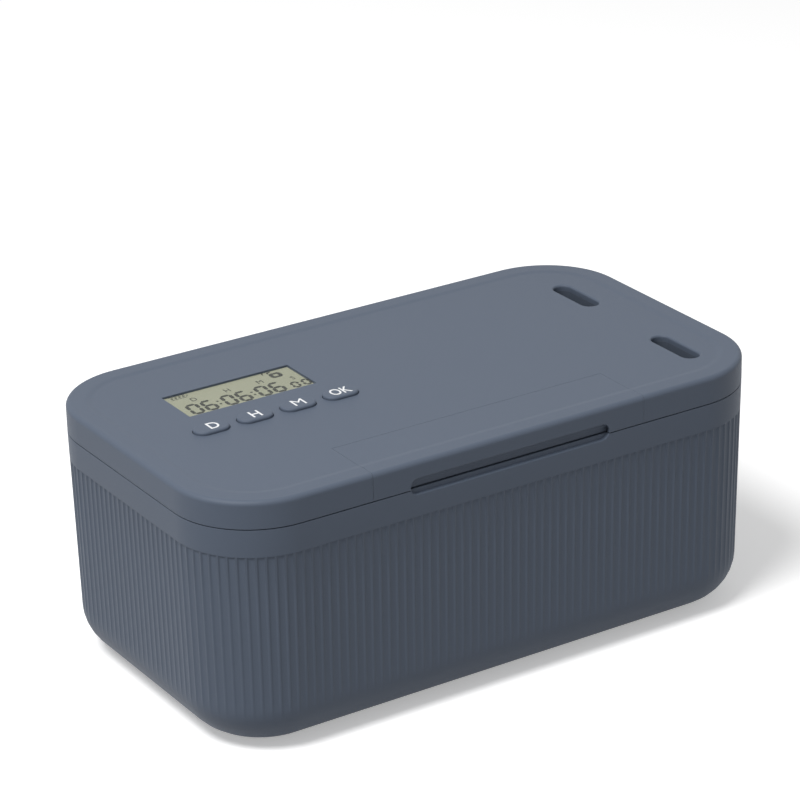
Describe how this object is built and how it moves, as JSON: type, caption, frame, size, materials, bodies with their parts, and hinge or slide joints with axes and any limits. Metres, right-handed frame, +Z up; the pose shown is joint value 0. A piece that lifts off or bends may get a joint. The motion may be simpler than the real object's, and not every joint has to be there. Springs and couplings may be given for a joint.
{
  "type": "timed lock container",
  "caption": "Rectangular plastic box with a fluted tub and a hinged lid that holds a countdown display, push buttons, cable slots and a motor-driven latch.",
  "frame": {"origin": "middle of the footprint on the table, hinge barrels included", "axes": "+X to the right along the long side, +Y to the back where the hinges are, +Z up"},
  "size_m": [0.24, 0.1403, 0.1016],
  "materials": {
    "slate_plastic": "fine matt moulded texture, slate blue-grey",
    "inner_plastic": "matt moulded, dark slate",
    "dark_plastic": "black moulded",
    "rubber_pad": "soft black rubber",
    "steel": "bright zinc plated",
    "brass": "machined",
    "clear_window": "clear polished acrylic",
    "lcd": "grey-green reflective liquid crystal glass",
    "elastomer": "striped conductive elastomer",
    "circuit_board": "green solder mask",
    "nylon": "natural nylon",
    "battery_case": "plain black sleeve",
    "lead_red": "red wire insulation",
    "lead_black": "black wire insulation"
  },
  "bodies": {
    "tub": {"tub_shell": "slate_plastic", "foot_pads": "rubber_pad", "hinge_pins": "steel", "latch_keepers": "steel", "keeper_screws": "steel"},
    "lid": {"lid_shell": "slate_plastic", "lock_panel": "slate_plastic", "panel_screws": "steel", "lid_tray": "inner_plastic", "tray_screws": "steel", "display_window": "clear_window", "display_cell": "lcd", "display_holder": "dark_plastic", "display_connector": "elastomer", "control_board": "circuit_board", "board_screws": "steel", "switch_bases": "dark_plastic", "processor": "dark_plastic", "buzzer": "dark_plastic", "motor_gearbox": "brass", "motor_can": "steel", "motor_clamp": "steel", "clamp_screws": "steel", "latch_guides": "nylon", "guide_screws": "steel", "limit_switch": "dark_plastic", "batteries": "battery_case", "battery_contacts": "steel", "motor_leads": "lead_red", "battery_leads": "lead_black"},
    "key_d": {"button_d": "slate_plastic", "plunger_d": "dark_plastic"},
    "key_h": {"button_h": "slate_plastic", "plunger_h": "dark_plastic"},
    "key_m": {"button_m": "slate_plastic", "plunger_m": "dark_plastic"},
    "key_ok": {"button_ok": "slate_plastic", "plunger_ok": "dark_plastic"},
    "latch": {"latch_bar": "steel"},
    "pinion": {"lock_pinion": "brass", "motor_shaft": "steel"},
    "bay_door": {"battery_door": "inner_plastic"}
  },
  "joints": [
    {"name": "lid_hinge", "type": "hinge", "parent": "tub", "child": "lid", "pos_m": [0, 0.06735, 0.09], "axis": [-1, 0, 0], "range_deg": [0, 105]},
    {"name": "press_d", "type": "slide", "parent": "lid", "child": "key_d", "axis": [0, 0, -1], "range_m": [0, 0.0005], "stiffness_N_per_m": 400, "springref_m": -0.0008},
    {"name": "press_h", "type": "slide", "parent": "lid", "child": "key_h", "axis": [0, 0, -1], "range_m": [0, 0.0005], "stiffness_N_per_m": 400, "springref_m": -0.0008},
    {"name": "press_m", "type": "slide", "parent": "lid", "child": "key_m", "axis": [0, 0, -1], "range_m": [0, 0.0005], "stiffness_N_per_m": 400, "springref_m": -0.0008},
    {"name": "press_ok", "type": "slide", "parent": "lid", "child": "key_ok", "axis": [0, 0, -1], "range_m": [0, 0.0005], "stiffness_N_per_m": 400, "springref_m": -0.0008},
    {"name": "latch_slide", "type": "slide", "parent": "lid", "child": "latch", "axis": [1, 0, 0], "range_m": [0, 0.007]},
    {"name": "pinion_turn", "type": "hinge", "parent": "lid", "child": "pinion", "pos_m": [0, -0.0538, 0.08656], "axis": [0, -1, 0], "range_deg": [0, 101]},
    {"name": "bay_door_hinge", "type": "hinge", "parent": "lid", "child": "bay_door", "pos_m": [-0.007, 0.01395, 0.0768], "axis": [0, 1, 0], "range_deg": [0, 80]}
  ],
  "couplings": [
    {"joint": "pinion_turn", "follows": "latch_slide", "rad_per_m": 250}
  ]
}
